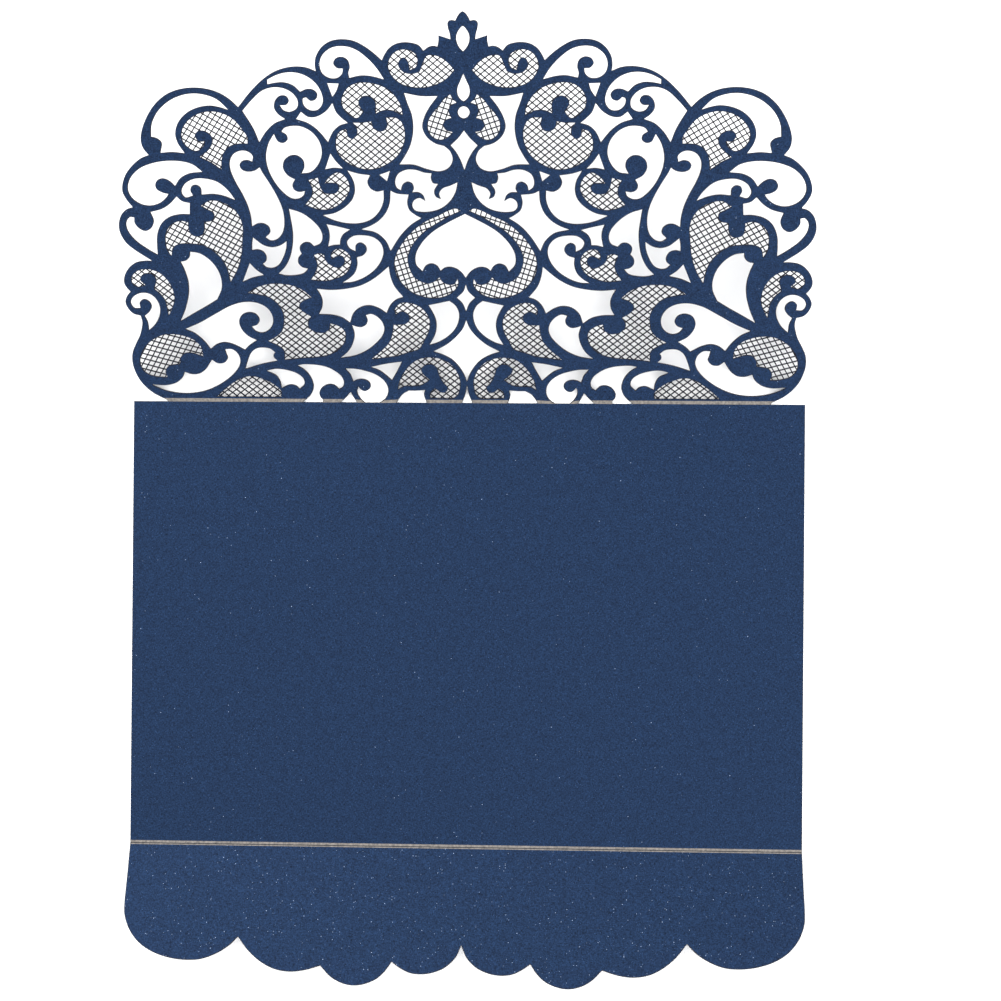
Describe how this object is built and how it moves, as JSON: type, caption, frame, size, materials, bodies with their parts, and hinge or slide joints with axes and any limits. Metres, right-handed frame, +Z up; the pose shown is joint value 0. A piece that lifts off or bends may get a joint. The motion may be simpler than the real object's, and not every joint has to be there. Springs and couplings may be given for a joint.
{
  "type": "laser-cut invitation card",
  "caption": "Laser-cut wedding invitation card: a lace flap with hearts, scrolls and lattice, a plain panel and a short scalloped flap, folded open from one sheet.",
  "frame": {"origin": "middle of the bounding box in plan, at the height of the panel's underside", "axes": "+Y from the scalloped flap to the lace flap, across both creases; +X along the creases; +Z up from the panel's face"},
  "size_m": [0.1856, 0.2552, 0.0358],
  "materials": {
    "pearl_card": "pearlescent navy card stock with a soft satin sheen"
  },
  "bodies": {
    "root": {"invitation_card": "pearl_card"}
  },
  "joints": []
}
